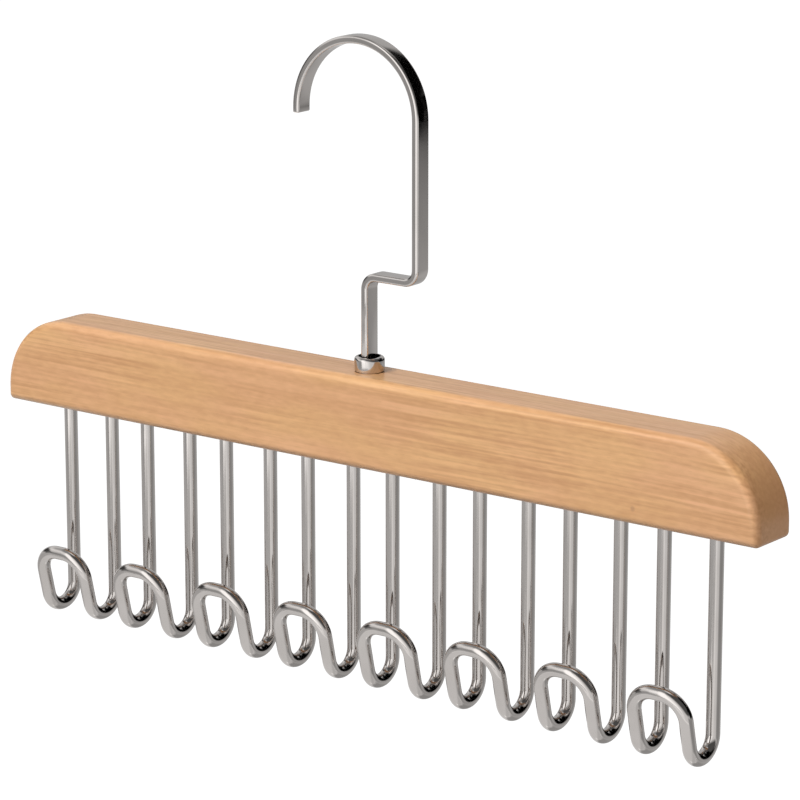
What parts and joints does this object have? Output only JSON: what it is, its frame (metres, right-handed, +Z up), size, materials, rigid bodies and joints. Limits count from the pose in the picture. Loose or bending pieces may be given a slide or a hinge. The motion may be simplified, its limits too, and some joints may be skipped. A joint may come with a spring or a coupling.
{
  "type": "wooden strap hanger",
  "caption": "Straight wooden hanger bar with quarter-round ends, a flat chromed swivel hook on top and a row of bent-wire hooks below for bra, top or dress straps.",
  "frame": {"origin": "underside of the hook's crown, where a rail carries the hanger", "axes": "+X along the bar, +Y to the back (the strap hooks open to -Y), +Z up"},
  "size_m": [0.28, 0.0269, 0.1947],
  "materials": {
    "beech": "pale beech with fine grain along the bar, clear satin lacquer",
    "chrome": "bright chrome-plated steel wire and strip"
  },
  "bodies": {
    "hook": {"swivel_hook": "chrome"},
    "bar": {"wooden_bar": "beech", "swivel_bush": "chrome", "strap_hook_1": "chrome", "strap_hook_2": "chrome", "strap_hook_3": "chrome", "strap_hook_4": "chrome", "strap_hook_5": "chrome", "strap_hook_6": "chrome", "strap_hook_7": "chrome", "strap_hook_8": "chrome"}
  },
  "joints": [
    {"name": "hook_swivel", "type": "hinge", "parent": "hook", "child": "bar", "pos_m": [0.0033, 0, -0.09735], "axis": [0, 0, 1], "continuous": true}
  ]
}
